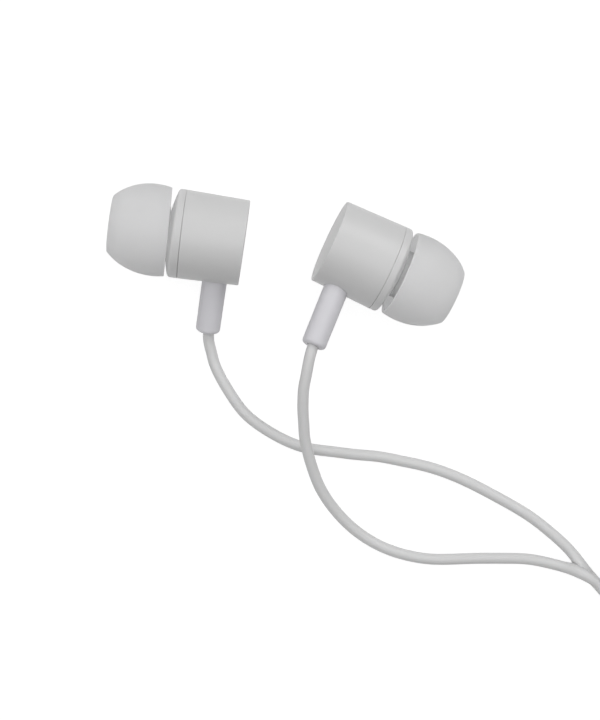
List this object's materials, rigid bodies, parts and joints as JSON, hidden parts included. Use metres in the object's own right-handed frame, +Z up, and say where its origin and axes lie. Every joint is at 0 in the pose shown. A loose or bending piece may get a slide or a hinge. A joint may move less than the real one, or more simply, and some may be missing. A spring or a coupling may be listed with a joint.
{
  "type": "wired earphones",
  "caption": "Wired in-ear earphones: two cylindrical earpieces with silicone tips and angled sleeves on a bonded twin lead, the rest coiled, with a 3.5 mm plug.",
  "frame": {"origin": "on the table, under the middle of the box around the two earpieces as they lie", "axes": "+Z up from the table; +X from the left earpiece to the right one; +Y away from the leads and towards the top of the picture"},
  "size_m": [0.111, 0.0702, 0.013],
  "materials": {
    "ear_tip": "matte white silicone",
    "shell": "satin white moulded plastic",
    "sleeve": "matte white soft plastic",
    "lead": "matte white jacket",
    "mesh": "fine woven steel screen",
    "foam": "black foam",
    "grille": "thin pressed sheet",
    "film": "clear pressed film",
    "copper": "enamelled copper wire",
    "driver_frame": "black moulded plastic",
    "steel": "zinc-plated steel",
    "magnet": "nickel-plated magnet",
    "board": "green circuit board",
    "paper": "thin non-woven damping paper",
    "tie": "white plastic-coated wire",
    "contact": "nickel-plated brass",
    "insulator": "black plastic"
  },
  "bodies": {
    "earphones": {"left_front_shell": "shell", "left_nozzle_mesh": "mesh", "left_rear_shell": "shell", "left_strain_relief": "sleeve", "left_gasket": "foam", "left_front_grille": "grille", "left_surround": "film", "left_driver_frame": "driver_frame", "left_top_plate": "steel", "left_magnet": "magnet", "left_yoke": "steel", "left_terminal_board": "board", "left_damping_paper": "paper", "left_inner_wires": "copper", "left_lead": "lead", "right_front_shell": "shell", "right_nozzle_mesh": "mesh", "right_rear_shell": "shell", "right_strain_relief": "sleeve", "right_gasket": "foam", "right_front_grille": "grille", "right_surround": "film", "right_driver_frame": "driver_frame", "right_top_plate": "steel", "right_magnet": "magnet", "right_yoke": "steel", "right_terminal_board": "board", "right_damping_paper": "paper", "right_inner_wires": "copper", "right_lead": "lead", "lead_coil": "lead", "lead_tail": "lead", "coil_tie": "tie", "plug_strain_relief": "sleeve", "plug_handle": "sleeve", "plug_sleeve_contact": "contact", "plug_ring_contact": "contact", "plug_tip_contact": "contact", "plug_rear_insulator": "insulator", "plug_front_insulator": "insulator"},
    "left_tip": {"left_ear_tip": "ear_tip"},
    "left_diaphragm": {"left_diaphragm": "film", "left_voice_coil": "copper"},
    "right_tip": {"right_ear_tip": "ear_tip"},
    "right_diaphragm": {"right_diaphragm": "film", "right_voice_coil": "copper"}
  },
  "joints": [
    {"name": "left_ear_tip_pull", "type": "slide", "parent": "earphones", "child": "left_tip", "axis": [-0.9894, 0.1426, 0.0267], "range_m": [0, 0.006]},
    {"name": "left_diaphragm_travel", "type": "slide", "parent": "earphones", "child": "left_diaphragm", "axis": [-0.9894, 0.1426, 0.0267], "range_m": [-0.00015, 0.00015], "stiffness_N_per_m": 500},
    {"name": "right_ear_tip_pull", "type": "slide", "parent": "earphones", "child": "right_tip", "axis": [0.9053, -0.4126, -0.1011], "range_m": [0, 0.006]},
    {"name": "right_diaphragm_travel", "type": "slide", "parent": "earphones", "child": "right_diaphragm", "axis": [0.9053, -0.4126, -0.1011], "range_m": [-0.00015, 0.00015], "stiffness_N_per_m": 500}
  ]
}
